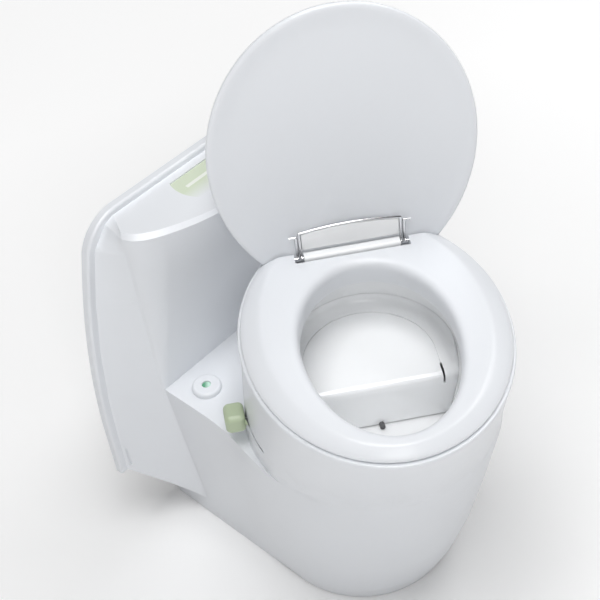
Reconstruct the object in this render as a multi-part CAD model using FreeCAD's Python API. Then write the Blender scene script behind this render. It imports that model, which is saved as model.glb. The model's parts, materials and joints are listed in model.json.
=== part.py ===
"""Fixed cassette toilet with a turning bowl, as fitted in caravans and motorhomes.

Millimetres, +Z up. The origin is on the bowl's turning axis at floor level. The wall side is +Y and the
front is -Y. The bowl, seat and lid are drawn facing straight ahead and are then turned to their rest angle.
"""
import FreeCAD
import Part
import os
from math import cos, hypot, pi, radians, sin, sqrt

# Whole object
HEIGHT = 530.0                # top of the wall flange above the floor
SHELF_Z = 264.0               # top of the pedestal, where the bowl turns
RIM_Z = 444.0                 # top of the bowl's rim
WALL = 3.0                    # moulded wall
FIT = 0.3                     # gap between pieces that move past each other
RUNNING = 0.05                # radial clearance of a pin in its hole
SNUG = 0.2                    # gap between pieces that are fixed together
SWIVEL_REST = -39.0           # bowl's turn at rest, degrees about +Z
LID_OPEN = 91.0               # lid's angle at rest, degrees from closed

# Pedestal
NOSE_Y = 32.0                 # centre of the nose on the floor
SIDE_Y = 165.0                # the sides are straight behind this
SWELL_SHARE = 0.5             # how gradually they swell to the nose
SHELF_FLARE = 14.0            # half-width gained from the floor to the shelf
SHELF_R = 160.0               # round front at the shelf, about the turning axis
SHELF_T = 3.0
BELLY = ((0.12, 5.0), (0.36, 8.0), (0.68, 5.0))   # share of the height, nose fuller by this
FLOOR_T = 5.0
REAR_Y = 275.0                # front face of the wall flange
FIXING_R = 3.0                # floor fixing holes
FIXING_X = 70.0
FIXING_Y = (20.0, 220.0)

# Wall flange
FLANGE_T = 12.0
FLANGE_HALF_W = 210.0
FLANGE_FOOT_Z = 121.0
FLANK_Z = 200.0               # the flanks are upright below this height
SHOULDER_HALF_W = 170.0
SHOULDER_DROP = 38.0          # shoulder below the flange's top
TOP_HALF_W = 120.0            # half of the straight top edge
SHOULDER_BULGE = 9.0
FLANGE_RIM = 14.0             # width of the thick rim
FLANGE_PLATE = 4.0            # thickness inside the rim
FOOT_TAB = 15.0               # rounded foot of the flange, wide and high
FOOT_TAB_H = 26.0
LEG_IN = 1.0                  # leg of the flange beside the hatch, inside the pedestal's foot
LEG_Z = 40.0
HATCH_ROOM = 8.0              # hatch beside the tank
HATCH_TOP = 250.0

# Console
CONSOLE_DROP = 8.0            # console's top below the flange's top
CONSOLE_FRONT = 229.0         # front face at the shelf
CONSOLE_BOW = 176.0           # front edge of the top, in the middle
CORNER_STEP = 0.5             # upright front corner outside the pedestal
FLANGE_LIP = 10.0             # flange that stands out around the console
TOP_EDGE = 5.0                # bevel round the top
CONSOLE_LEVELS = (0.3, 0.6)   # heights of the sections between, as shares
SHOULDER_STEP = 1.0           # section just below the flange's shoulder
SIDE_SLANT = 1.4              # flared wall measured across the width
CORNER_OUT = 2.0              # front corner: where the flared side ends
CORNER_BACK = 3.0
CORNER_BACK_TOP = 8.0         # and how much further back it ends at the top
CORNER_IN = 6.0               # where the front begins
CORNER_IN_TOP = 31.0
CORNER_BOW = 0.21             # shares of the bow: corner, ends of the front, its middle
END_BOW = 0.53
MIDDLE_BOW = 1.49
WING_Y = 232.0                # where the flared sides leave the pedestal
WING_BLEND = 4.0              # they blend into it this far ahead at the shelf
WING_BLEND_LOW = 30.0         # and at the floor
WING_LEAVE_SHARE = 0.15
WING_FOOT_Z = 36.0            # lower edge of the flared sides at the pedestal
WING_RISE = 14.0              # and above the flange's foot
PANEL_REAR = 263.0            # straight rear edge of the control panel
PANEL_Y = 242.0               # centre of its round front
PANEL_R = 48.0
PANEL_DROP = 1.5              # panel's face below the console's top
PANEL_LIP = 4.0
BUTTON_R = 9.0
BUTTON_XY = (24.0, 232.0)
BUTTON_TRAVEL = 3.0
BUTTON_EDGE = 1.2
BOARD_T = 1.6
BOARD_X = (-50.0, 55.0)
BOARD_L = 40.0
SWITCH = 8.0                  # square switch under the button
POST_X = (-30.0, 45.0)        # posts between panel and board
POST_Y = (245.0, 255.0)

# Level gauge on the shelf
GAUGE_XY = (-106.0, 187.0)
GAUGE_R = 19.0
GAUGE_T = 8.0
GAUGE_EDGE = 4.0
LENS_R = 6.0
LENS_SUNK = 2.0               # green window below the housing's top
LENS_EDGE = 0.5

# Bowl bearing
SPIGOT_R = 110.0
SPIGOT_IN = 101.0
SPIGOT_LOW = 249.0
BEARING_R = 118.0             # sleeve of the bearing ring, in the shelf's hole
BEARING_FLANGE_R = 128.0
BEARING_FLANGE_T = 3.0
BEARING_SLEEVE = 12.0
BEARING_SCREWS = 6
BEARING_SCREW_R = 123.0
SCREW_R = 2.0
SCREW_HEAD_R = 3.6
SCREW_HEAD_T = 2.2
SCREW_TIP = 4.0               # screw below the shelf
SCREW_SLOT = 1.0              # slot's width and depth
RETAINER_R = 114.0
RETAINER_T = 2.0

# Bowl
BOWL_FLOOR_T = 7.0
SKIRT_GAP = 0.5               # skirt above the shelf
SKIRT_R = 158.0               # skirt's round foot
RIM_HALF_W = 151.0
RIM_HALF_L = 195.0
RIM_Y = -44.0                 # middle of the rim's oval
RIM_T = 6.0
RIM_LIP = 1.5
WELL_R = 97.0                 # round foot of the inner bowl
LEDGE_Z = 352.0               # widest part of the inner bowl
LEDGE_HALF_W = 103.0
LEDGE_REAR = 104.0
LEDGE_FRONT = 150.0
MOUTH_HALF_W = 105.0
MOUTH_Y = -68.0
MOUTH_REAR = 135.0
MOUTH_FRONT = 150.0
MOUTH_FLANGE = 14.0
NOZZLE_W = 28.0
NOZZLE_D = 12.0
NOZZLE_H = 12.0
PLATEAU_Z = 349.0
PLATEAU_EDGE_Y = -45.0        # straight front edge of the plateau
PLATEAU_R = 80.0              # groove round the plateau
PLATEAU_RUN = 300.0           # the groove runs nearly straight towards the front
GROOVE = 1.5
COVE_H = 14.0                 # the plateau's surround curves up this far to the wall
COVE_SIDE = 13.0              # cove's width at the sides
COVE_REAR = 18.0              # and at the rear
COVE = ((1.0, 0.0), (0.55, 0.14), (0.25, 0.45), (0.03, 1.0))   # shares: width from the wall, height
SEAL_T = 2.0
SEAL_LIP = 2.0                # seal inside the inner bowl's foot
OUTLET_R = 95.0
BLADE_T = 4.0
BLADE_R = 99.0
BLADE_LAP = 5.0               # blade past the outlet's straight edge
VALVE_XY = (-122.0, -48.0)    # pivot of the valve
VALVE_HUB_R = 9.0
VALVE_PIN_R = 4.0
PIN_HEAD = 2.0                # head of the pivot, wider by this and as thick
LEVER_Z = 304.0
LEVER_R = 4.0
LEVER_L = 59.5
LEVER_REST = 145.0            # lever's direction at rest, degrees
LEVER_SWING = 60.0
KNOB = (25.0, 30.0, 28.0)     # away from the skirt, along it, high
KNOB_ROUND = 7.0
WINDOW_MARGIN = 4.0
WINDOW_SHARE = 0.72           # share of the lever inside the skirt

# Seat, lid and hinge
HINGE_Y = 78.0
HINGE_Z = 457.0
KNUCKLE_R = 6.0
BLOCK_HALF_W = 58.0
BLOCK_FRONT = 70.0
BLOCK_ROUND = 4.0
NOTCH_HALF_W = 69.0           # seat's notch around the hinge block
NOTCH_GAP = 3.0
WIRE_R = 1.6
WIRE_ARM = 33.0               # hinge wire from the axis to its cross bar
WIRE_BOW = 5.0                # cross bar bows up in the middle
WIRE_BOW_STEPS = 8
WIRE_SHORT = 28.0             # outer arms, up to their feet
WIRE_GAP = 0.7                # inner arms beside the hinge block
WIRE_PITCH = 4.2              # from an inner to an outer arm
WIRE_FOOT = 8.0
PIVOT_IN = 10.0               # wire's ends in the hinge block
PIVOT_OUT = 15.0              # wire's ends towards the seat
SEAT_LOW = 446.5
SEAT_TOP = 460.0
SEAT_HALF_W = 149.0
SEAT_Y = -45.0
SEAT_FRONT = 192.0
SEAT_REAR = 190.0
SEAT_BEHIND = 5.0             # seat behind the hinge axis
SEAT_SIDE_DRAW = 22.0         # how far the top is drawn in at the sides
SEAT_END_DRAW = 14.0          # and at the front and back
SEAT_SHOULDER = 0.55          # height where the side turns inwards, and how far it is in by then
SEAT_SHOULDER_DRAW = 0.25
HOLE_HALF_W = 86.0
HOLE_Y = -70.0
HOLE_REAR = 120.0
HOLE_FRONT = 138.0
HOLE_BEVEL = 5.0
SEAT_LIP = 18.0               # lip round the hole, deep at the rear, running out to the front
SEAT_LIP_T = 4.0
BUMPER_R = 6.0
BUMPERS = ((118.0, 15.0), (105.0, -150.0))
LID_LOW = 463.5
LID_RISE = 12.0
LID_HALF_W = 153.0
LID_Y = -54.0
LID_FRONT = 186.0
LID_REAR = 195.0
LID_BEHIND = 11.0             # lid behind the hinge axis
LID_SHOULDER = 0.6            # height of the lid's side
LID_SIDE_DRAW = 3.0
LID_CROWN_DRAW = 16.0
LID_DISH = 2.5                # depth of the dished inside
LID_RIM = 4.0                 # rim round the dish
LID_DISH_DRAW = 6.0
LID_PAD_HALF_W = 75.0         # flat pad that holds the hinge wire
LID_PAD_L = 44.0

# Waste tank
TANK_HALF_W = 110.0
TANK_REAR = 245.0
TANK_TOP = 236.0
INLET_R = 96.0
INLET_SEAL_R = 106.0
INLET_SEAL_T = 4.0
INLET_SEAL_LIP = 6.0
TANK_MOUTH_H = 30.0           # round mouth of the tank, in front of its nose
RAIL_T = 7.0
RAIL_ROOM = 6.7               # between a rail and the pedestal's wall
RAIL_H = 20.0
RAIL_Y = (30.0, 270.0)
WHEEL_R = 16.0
WHEEL_W = 14.0
WHEEL_Y = 205.0
WHEEL_NOTCH = 24.0            # notch's depth into the tank's side
WHEEL_ROOM = 4.0              # space round the wheel
WHEEL_SIDE = 2.0              # and beside it
WHEEL_EDGE = 2.5
AXLE_R = 3.0
AXLE_HEAD_R = 5.0
AXLE_HEAD_T = 3.0
HANDLE_HALF_W = 50.0
HANDLE_Z = 212.0
HANDLE_DROP = 40.0
HANDLE_T = 12.0
HANDLE_Y = 256.0
BRACKET_T = 8.0
HANDLE_PIN_R = 3.0
SPOUT_SIDE = 30.0             # spout's hub from the tank's left side
SPOUT_Z = 70.0
SPOUT_Y = 266.0               # middle of the spout's tube
SPOUT_R = 17.0
SPOUT_HUB_R = 21.0
SPOUT_L = 74.0
COLLAR_R = 24.0
COLLAR_T = 3.5
CAP_R = 19.0
CAP_L = 18.0
CAP_PLUG = 6.0                # cap's plug inside the tube
CAP_RIBS = 12
CAP_GROOVE_R = 2.0
CAP_FLANGE = 3.0              # smooth part before the ribs
VENT_SIDE = 30.0              # vent from the tank's right side
VENT_Z = 200.0
VENT_R = 9.0
VENT_TRAVEL = 4.0
VENT_EDGE = 1.5

# Water inlet
VALVE_BOX = (44.0, 34.0, 34.0)
INLET_XZ = (70.0, 340.0)
WATER_INLET_R = 5.0
INLET_STANDS = 13.0           # spigot behind the wall flange
COIL_R = 12.0
COIL_H = 26.0
HOSE_R = 5.0
HOSE_Z = 252.0
HOSE_END_Y = 142.0
HOSE_BEND = 8.0
OUTLET_L = 6.0                # valve's outlet stub
COLLAR_GROW = 2.0             # inlet's collar inside the flange
ELBOW_HALF_W = 9.0            # hose fitting under the shelf
ELBOW_L = 30.0
ELBOW_WALL = 1.5

# Worked out from the above
BEARING_TOP = SHELF_Z + BEARING_FLANGE_T
BOWL_FLOOR_LOW = BEARING_TOP + FIT
BLADE_LOW = BOWL_FLOOR_LOW + BOWL_FLOOR_T + FIT
SEAL_LOW = BLADE_LOW + BLADE_T + FIT
WELL_LOW = SEAL_LOW + SEAL_T
RIM_LOW = RIM_Z - RIM_T
SKIRT_LOW = SHELF_Z + SKIRT_GAP
TANK_LOW = FLOOR_T + FIT
FOOT_HALF_W = TANK_HALF_W + FIT + RAIL_T + RAIL_ROOM + WALL   # pedestal's half-width and nose radius below
SHELF_HALF_W = FOOT_HALF_W + SHELF_FLARE
HATCH_HALF_W = TANK_HALF_W + HATCH_ROOM
LEG_HALF_W = FOOT_HALF_W - LEG_IN
CONSOLE_TOP = HEIGHT - CONSOLE_DROP
CORNER_HALF_W = SHELF_HALF_W + CORNER_STEP
SPOUT_X = SPOUT_SIDE - TANK_HALF_W
VENT_X = TANK_HALF_W - VENT_SIDE
X = FreeCAD.Vector(1, 0, 0)
Y = FreeCAD.Vector(0, 1, 0)
Z = FreeCAD.Vector(0, 0, 1)
ORIGIN = FreeCAD.Vector(0, 0, 0)
V = FreeCAD.Vector


def box(x, y, z):
    """A box from three (low, high) pairs."""
    return Part.makeBox(x[1] - x[0], y[1] - y[0], z[1] - z[0], V(x[0], y[0], z[0]))


def rod(radius, start, direction, length):
    return Part.makeCylinder(radius, length, start, direction)


def ring(outer, inner, low, high, centre=(0, 0)):
    """An upright ring."""
    at = V(centre[0], centre[1], low)
    return rod(outer, at, Z, high - low).cut(rod(inner, at, Z, high - low))


def loft(wires):
    return Part.makeLoft(wires, True, True)


def polygon(points):
    corners = [V(*p) for p in points]
    return Part.makePolygon(corners + corners[:1])


def mirrored(shape):
    return shape.mirror(ORIGIN, X)


def fused(shapes):
    return shapes[0].multiFuse(shapes[1:]).removeSplitter()


def egg(half_width, rear, front, middle, z, inset=0.0):
    """A closed oval: two half ellipses that share their width."""
    edges = []
    for length, side in ((rear, 1), (front, -1)):
        half = Part.Arc(V(side, 0, 0), V(0, side, 0), V(-side, 0, 0)).toShape()
        stretch = FreeCAD.Matrix()
        stretch.scale(V(half_width - inset, length - inset, 1))
        half = half.transformGeometry(stretch)
        half.translate(V(0, middle, z))
        edges.append(half)
    return Part.Wire(edges)


def other(p):
    """The same point on the other side."""
    return V(-p.x, p.y, p.z)


def curve(*poles):
    line = Part.BezierCurve()
    line.setPoles(list(poles))
    return line.toShape()


def prism(wire, height):
    return Part.Face(wire).extrude(Z * height)


def save(name, shape, turned=False):
    """Write one node. Bowl pieces are turned to the rest angle first."""
    if turned:
        shape = shape.copy()
        shape.rotate(ORIGIN, Z, SWIVEL_REST)
    solids = shape.Solids
    assert solids and shape.isValid(), name
    shape = solids[0] if len(solids) == 1 else Part.makeCompound(solids)
    shape.exportStep(f"parts/{name}.step")


def u_outline(half_width, nose_y, nose_r, z, rear):
    """A plan with straight sides that swell into a round nose."""
    reach = (SIDE_Y - nose_y) * SWELL_SHARE
    side = [V(half_width, SIDE_Y, z), V(half_width, SIDE_Y - reach, z), V(nose_r, nose_y + reach, z),
            V(nose_r, nose_y, z)]
    left_rear, right_rear = V(-half_width, rear, z), V(half_width, rear, z)
    return Part.Wire([
        Part.makeLine(left_rear, other(side[0])),
        curve(*[other(p) for p in side]),
        Part.Arc(other(side[3]), V(0, nose_y - nose_r, z), side[3]).toShape(),
        curve(*reversed(side)),
        Part.makeLine(side[0], right_rear),
        Part.makeLine(right_rear, left_rear),
    ])


def pedestal(inset, rear):
    """Plans stacked from the floor to the shelf."""
    plans = []
    for share, more in ((0, 0),) + BELLY + ((1, 0),):
        z, nose_r = SHELF_Z * share, FOOT_HALF_W + (SHELF_R - FOOT_HALF_W) * share + more
        plans.append(u_outline(pedestal_half_width(z) - inset, NOSE_Y * (1 - share), nose_r - inset, z, rear))
    return loft(plans)


def pedestal_half_width(z):
    return FOOT_HALF_W + (SHELF_HALF_W - FOOT_HALF_W) * z / SHELF_Z


def bearing_screw_places():
    for k in range(BEARING_SCREWS):
        turn = 2 * pi * (k + 0.5) / BEARING_SCREWS
        yield BEARING_SCREW_R * cos(turn), BEARING_SCREW_R * sin(turn)


def base_shell():
    """Pedestal with the shelf on top, open below and at the back."""
    hollow = pedestal(WALL, REAR_Y + WALL).common(
        box((-2 * SHELF_R, 2 * SHELF_R), (-2 * SHELF_R, REAR_Y + WALL), (0, SHELF_Z - SHELF_T)))
    shell = pedestal(0, REAR_Y).cut(hollow)
    shelf = SHELF_Z - SHELF_T
    shell = shell.cut(rod(BEARING_R, V(0, 0, shelf), Z, SHELF_T))
    shell = shell.cut(rod(HOSE_R + SNUG, V(INLET_XZ[0], hose_y(), shelf), Z, SHELF_T))
    for x, y in bearing_screw_places():
        shell = shell.cut(rod(SCREW_R, V(x, y, shelf), Z, SHELF_T))
    return shell


def base_floor():
    """Floor plate with the four floor fixing holes."""
    wide = (-2 * SHELF_R, 2 * SHELF_R)
    plate = pedestal(WALL, REAR_Y).common(box(wide, wide, (0, FLOOR_T)))
    for x in (-FIXING_X, FIXING_X):
        for y in FIXING_Y:
            plate = plate.cut(rod(FIXING_R, V(x, y, 0), Z, FLOOR_T))
    return plate


def guide_rails():
    low = TANK_HALF_W + FIT
    rail = box((low, low + RAIL_T), RAIL_Y, (FLOOR_T, FLOOR_T + RAIL_H))
    return Part.makeCompound([rail, mirrored(rail)])


def flange_outline(inset):
    """Bell-shaped outline of the wall flange, as an edge loop in its front plane."""
    half, shoulder = FLANGE_HALF_W - inset, SHOULDER_HALF_W - inset
    top, shoulder_z = HEIGHT - inset, HEIGHT - SHOULDER_DROP - inset / 2
    tip = TOP_HALF_W - inset / 2
    chord = V(shoulder - tip, 0, shoulder_z - top)
    out = V(-chord.z, 0, chord.x).normalize()
    bulge = (V(shoulder, REAR_Y, shoulder_z) + V(tip, REAR_Y, top)) * 0.5 + out * SHOULDER_BULGE
    middle = FLANK_Z + (shoulder_z - FLANK_Z) / 2
    foot_z = FLOOR_T + FIT + inset
    edges = []
    for s in (1, -1):
        flank, end = V(s * half, REAR_Y, FLANK_Z), V(s * tip, REAR_Y, top)
        turn = V(s * shoulder, REAR_Y, shoulder_z)
        waist = V(s * (flank_half_width(middle) - inset), REAR_Y, middle)
        edges.append(Part.Arc(flank, waist, turn).toShape())
        edges.append(Part.Arc(turn, V(s * bulge.x, REAR_Y, bulge.z), end).toShape())
        leg, tab_z = LEG_HALF_W - inset, FLANGE_FOOT_Z + FOOT_TAB_H
        corners = [(leg, foot_z), (leg, LEG_Z + inset / 2)]
        if inset:
            corners.append((half, tab_z + 2 * inset))
        else:
            corners += [(half - FOOT_TAB, tab_z), (half - FOOT_TAB, FLANGE_FOOT_Z), (half, FLANGE_FOOT_Z)]
        edges += Part.makePolygon([V(s * x, REAR_Y, z) for x, z in corners] + [flank]).Edges
    edges.append(Part.makeLine(V(-tip, REAR_Y, top), V(tip, REAR_Y, top)))
    edges.append(Part.makeLine(V(inset - LEG_HALF_W, REAR_Y, foot_z), V(LEG_HALF_W - inset, REAR_Y, foot_z)))
    return Part.Wire(Part.__sortEdges__(edges))


def flank_half_width(z):
    """Flange's half-width: a large arc from the upright flank to the shoulder, then straight to the top."""
    rise, draw = HEIGHT - SHOULDER_DROP - FLANK_Z, FLANGE_HALF_W - SHOULDER_HALF_W
    radius = (rise**2 + draw**2) / (2 * draw)
    if z <= FLANK_Z:
        return FLANGE_HALF_W
    if z <= FLANK_Z + rise:
        return FLANGE_HALF_W - radius + sqrt(radius**2 - (z - FLANK_Z)**2)
    return SHOULDER_HALF_W + (TOP_HALF_W - SHOULDER_HALF_W) * (z - FLANK_Z - rise) / SHOULDER_DROP


def rear_flange():
    """Wall flange: thick rim, thin plate against the wall, hatch for the tank."""
    plate = Part.Face(flange_outline(0)).extrude(Y * FLANGE_T)
    pocket = Part.Face(flange_outline(FLANGE_RIM)).extrude(Y * (FLANGE_T - FLANGE_PLATE))
    bridge = box((-HATCH_HALF_W - FLANGE_RIM, HATCH_HALF_W + FLANGE_RIM), (REAR_Y, REAR_Y + FLANGE_T),
                 (0, HATCH_TOP + FLANGE_RIM))
    hatch = box((-HATCH_HALF_W, HATCH_HALF_W), (REAR_Y - WALL, REAR_Y + 2 * FLANGE_T), (-FLOOR_T, HATCH_TOP))
    flange = plate.cut(pocket.cut(bridge)).cut(hatch)
    return flange.cut(rod(WATER_INLET_R + COLLAR_GROW, V(INLET_XZ[0], REAR_Y, INLET_XZ[1]), Y, FLANGE_T))


def console_section(z, inset, rear):
    """Plan of the console at a height: flared sides, front corners that round off and a front that bows."""
    share = (z - SHELF_Z) / (CONSOLE_TOP - SHELF_Z)
    wing = flank_half_width(z) - (FLANGE_LIP if z < HEIGHT - SHOULDER_DROP else 0) - inset * SIDE_SLANT
    corner = CORNER_HALF_W - inset
    front = CONSOLE_FRONT + inset
    bow = CONSOLE_FRONT - CONSOLE_BOW
    side_end = V(corner + CORNER_OUT, front + CORNER_BACK + CORNER_BACK_TOP * share, z)
    corner_pole = V(corner, front - CORNER_BOW * bow * share, z)
    front_end = V(corner - CORNER_IN - CORNER_IN_TOP * share, front - END_BOW * bow * share, z)
    front_pole = V(0, front - MIDDLE_BOW * bow * share, z)

    right, left = V(wing, rear, z), V(-wing, rear, z)
    return Part.Wire([
        Part.makeLine(right, side_end),
        curve(side_end, corner_pole, front_end),
        curve(front_end, front_pole, other(front_end)),
        curve(other(front_end), other(corner_pole), other(side_end)),
        Part.makeLine(other(side_end), left),
        Part.makeLine(left, right),
    ])


def console_body(inset, rear):
    """Stacked sections; with an inset, the same form one wall inside."""
    between = [SHELF_Z + (CONSOLE_TOP - SHELF_Z) * share for share in CONSOLE_LEVELS]
    heights = [SHELF_Z] + between + [HEIGHT - SHOULDER_DROP - SHOULDER_STEP, CONSOLE_TOP - TOP_EDGE - inset]
    sections = [console_section(z, inset, rear) for z in heights]
    sections.append(console_section(CONSOLE_TOP - inset, inset + TOP_EDGE, rear))
    return loft(sections)


def wing():
    """Lower part of the right flared side: a soft bend from the pedestal out to the flange."""
    def section(z):
        start, end = pedestal_half_width(z) + SNUG, flank_half_width(z) - FLANGE_LIP
        run, depth = end - start, REAR_Y - WING_Y
        slant = hypot(run, depth)
        lead = WING_BLEND + (WING_BLEND_LOW - WING_BLEND) * (1 - z / SHELF_Z)
        first, last = V(start, WING_Y - lead, z), V(end, REAR_Y, z)
        bend = curve(first, V(start + WING_LEAVE_SHARE * lead, WING_Y, z), last)
        inside = Part.makePolygon([last, V(end - WALL * slant / depth, REAR_Y, z),
                                   V(start, WING_Y + WALL * slant / run, z), first])
        return Part.Wire([bend] + inside.Edges)
    side = loft([section(FLOOR_T), section(FLANK_Z), section(SHELF_Z)])
    foot = polygon([(0, 0, 0), (0, 0, WING_FOOT_Z), (FOOT_HALF_W, 0, WING_FOOT_Z),
                    (FLANGE_HALF_W, 0, FLANGE_FOOT_Z + WING_RISE), (FLANGE_HALF_W + WALL, 0, 0)])
    return side.cut(Part.Face(foot).extrude(Y * (REAR_Y + WALL)))


def panel_outline(grow, z):
    """D-shaped plan of the control panel, straight at the back."""
    radius, back = PANEL_R + grow, PANEL_REAR + grow
    half = sqrt(radius**2 - (back - PANEL_Y)**2)
    left, right = V(-half, back, z), V(half, back, z)
    return Part.Wire([Part.Arc(left, V(0, PANEL_Y - radius, z), right).toShape(), Part.makeLine(right, left)])


def console_shell():
    shell = console_body(0, REAR_Y).cut(console_body(WALL, REAR_Y + WALL))
    shell = shell.cut(prism(panel_outline(0, CONSOLE_TOP - 2 * WALL), 3 * WALL))
    side = wing()
    return fused([shell, side, mirrored(side)])


def control_panel():
    """Panel that fills the opening in the console's top, clipped under it by a lip."""
    under = CONSOLE_TOP - WALL
    face = prism(panel_outline(-SNUG, under - WALL), WALL + WALL - PANEL_DROP)
    lip = prism(panel_outline(PANEL_LIP, under - WALL), WALL)
    lip = lip.common(console_body(WALL + SNUG, REAR_Y - SNUG))
    panel = fused([face, lip])
    for x in POST_X:
        panel = panel.fuse(box((x - WALL / 2, x + WALL / 2), POST_Y, (board_z() + BOARD_T, under - WALL)))
    at = V(BUTTON_XY[0], BUTTON_XY[1], under - WALL)
    return panel.removeSplitter().cut(rod(BUTTON_R + FIT, at, Z, 3 * WALL))


def board_z():
    return CONSOLE_TOP - 2 * WALL - 4 * BUTTON_TRAVEL - BOARD_T


def control_board():
    """Circuit board under the panel, with the button's switch on it."""
    board = box(BOARD_X, (PANEL_REAR - BOARD_L, PANEL_REAR), (board_z(), board_z() + BOARD_T))
    x, y = BUTTON_XY
    half = SWITCH / 2
    top = board_z() + 2 * BUTTON_TRAVEL
    switch = box((x - half, x + half), (y - half, y + half), (board_z() + BOARD_T, top))
    return fused([board, switch])


def flush_button():
    x, y = BUTTON_XY
    top = CONSOLE_TOP - PANEL_DROP + BUTTON_TRAVEL + FIT
    low = board_z() + 3 * BUTTON_TRAVEL + FIT
    under = CONSOLE_TOP - 2 * WALL
    cap = rod(BUTTON_R, V(x, y, under), Z, top - under)
    cap = cap.makeFillet(BUTTON_EDGE, [e for e in cap.Edges if e.BoundBox.ZMin > top - FIT])
    return fused([cap, rod(BUTTON_R / 3, V(x, y, low), Z, under - low)])


def gauge_housing():
    housing = ring(GAUGE_R, LENS_R, SHELF_Z, SHELF_Z + GAUGE_T, GAUGE_XY)
    upper = [e for e in housing.Edges if e.BoundBox.ZMin > SHELF_Z + FIT]
    return housing.makeFillet(GAUGE_EDGE, [e for e in upper if e.BoundBox.XLength > 2 * LENS_R + FIT])


def gauge_lens():
    at = V(GAUGE_XY[0], GAUGE_XY[1], SHELF_Z)
    lens = rod(LENS_R, at, Z, GAUGE_T - LENS_SUNK)
    return lens.makeFillet(LENS_EDGE, [e for e in lens.Edges if e.BoundBox.ZMin > SHELF_Z + LENS_EDGE])


def bearing_ring():
    """Plain bearing that the bowl's spigot turns in, screwed to the shelf."""
    bore = SPIGOT_R + RUNNING
    sleeve = ring(BEARING_R, bore, SHELF_Z - BEARING_SLEEVE, SHELF_Z)
    flange = ring(BEARING_FLANGE_R, bore, SHELF_Z, BEARING_TOP)
    body = fused([sleeve, flange])
    for x, y in bearing_screw_places():
        body = body.cut(rod(SCREW_R, V(x, y, SHELF_Z), Z, BEARING_FLANGE_T))
        body = body.cut(rod(SCREW_HEAD_R, V(x, y, BEARING_TOP - SCREW_HEAD_T), Z, SCREW_HEAD_T))
    return body


def bearing_screws():
    screws = []
    for x, y in bearing_screw_places():
        low = SHELF_Z - SHELF_T - SCREW_TIP
        shank = rod(SCREW_R, V(x, y, low), Z, BEARING_TOP - SCREW_HEAD_T - low)
        head = rod(SCREW_HEAD_R, V(x, y, BEARING_TOP - SCREW_HEAD_T), Z, SCREW_HEAD_T)
        slot = box((x - SCREW_HEAD_R, x + SCREW_HEAD_R), (y - SCREW_SLOT / 2, y + SCREW_SLOT / 2),
                   (BEARING_TOP - SCREW_SLOT, BEARING_TOP))
        screws.append(shank.fuse(head).cut(slot))
    return Part.makeCompound([s.Solids[0] for s in screws])


def hose_y():
    return REAR_Y - VALVE_BOX[1] / 2 - WALL


def water_valve():
    """Flush valve: body against the flange, coil on top, inlet spigot through the wall."""
    x, z = INLET_XZ
    long, deep, high = VALVE_BOX
    front, back = hose_y() - deep / 2, hose_y() + deep / 2
    body = box((x - long / 2, x + long / 2), (front, back), (z - high / 2, z + high / 2))
    inlet = rod(WATER_INLET_R, V(x, back, z), Y, REAR_Y + FLANGE_T + INLET_STANDS - back)
    collar = rod(WATER_INLET_R + COLLAR_GROW, V(x, back, z), Y, REAR_Y + FLANGE_T - back)
    coil = rod(COIL_R, V(x, hose_y(), z + high / 2), Z, COIL_H)
    outlet = rod(HOSE_R, V(x, hose_y(), z - high / 2 - OUTLET_L), Z, OUTLET_L)
    return fused([body, inlet, collar, coil, outlet])


def flush_hose():
    """Hose from the valve down through the shelf and forwards to the bearing."""
    x, top = INLET_XZ[0], INLET_XZ[1] - VALVE_BOX[2] / 2 - OUTLET_L
    start, corner, end = V(x, hose_y(), top), V(x, hose_y(), HOSE_Z), V(x, HOSE_END_Y, HOSE_Z)
    bend_in, bend_out = corner + Z * HOSE_BEND, corner - Y * HOSE_BEND
    centre = corner + Z * HOSE_BEND - Y * HOSE_BEND
    middle = centre + (corner - centre).normalize() * HOSE_BEND
    path = Part.Wire([Part.makeLine(start, bend_in), Part.Arc(bend_in, middle, bend_out).toShape(),
                      Part.makeLine(bend_out, end)])
    section = Part.Wire([Part.makeCircle(HOSE_R, start, Z)])
    return path.makePipeShell([section], True, False)


def hose_elbow():
    """Fitting under the shelf where the hose ends, beside the bearing."""
    x = INLET_XZ[0]
    return box((x - ELBOW_HALF_W, x + ELBOW_HALF_W), (HOSE_END_Y - ELBOW_L, HOSE_END_Y),
               (HOSE_Z - HOSE_R - ELBOW_WALL, SHELF_Z - SHELF_T))


def bowl_floor():
    """Floor of the turning bowl with its spigot and the outlet."""
    plate = rod(SKIRT_R, V(0, 0, BOWL_FLOOR_LOW), Z, BOWL_FLOOR_T).common(skirt_form(WALL))
    spigot = rod(SPIGOT_R, V(0, 0, SPIGOT_LOW), Z, BOWL_FLOOR_LOW - SPIGOT_LOW)
    bore = rod(SPIGOT_IN, V(0, 0, SPIGOT_LOW), Z, BOWL_FLOOR_LOW - SPIGOT_LOW)
    body = fused([plate, spigot.cut(bore)])
    body = body.cut(outlet(OUTLET_R, 0, BOWL_FLOOR_LOW, BOWL_FLOOR_T))
    x, y = VALVE_XY
    return body.cut(rod(VALVE_PIN_R, V(x, y, BOWL_FLOOR_LOW), Z, BOWL_FLOOR_T))


def outlet(radius, lap, low, high):
    """The part of a disc in front of the plateau's edge."""
    disc = rod(radius, V(0, 0, low), Z, high)
    return disc.common(box((-radius, radius), (-radius, PLATEAU_EDGE_Y + lap), (low, low + high)))


def retaining_ring():
    return ring(RETAINER_R, SPIGOT_R, SPIGOT_LOW, SPIGOT_LOW + RETAINER_T)


def skirt_form(inset):
    foot = egg(SKIRT_R, SKIRT_R, SKIRT_R, 0, SKIRT_LOW, inset)
    top = egg(RIM_HALF_W, RIM_HALF_L, RIM_HALF_L, RIM_Y, RIM_LOW, inset)
    return loft([foot, top])


def lever_direction(turn):
    angle = radians(LEVER_REST + turn)
    return V(cos(angle), sin(angle), 0)


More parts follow.
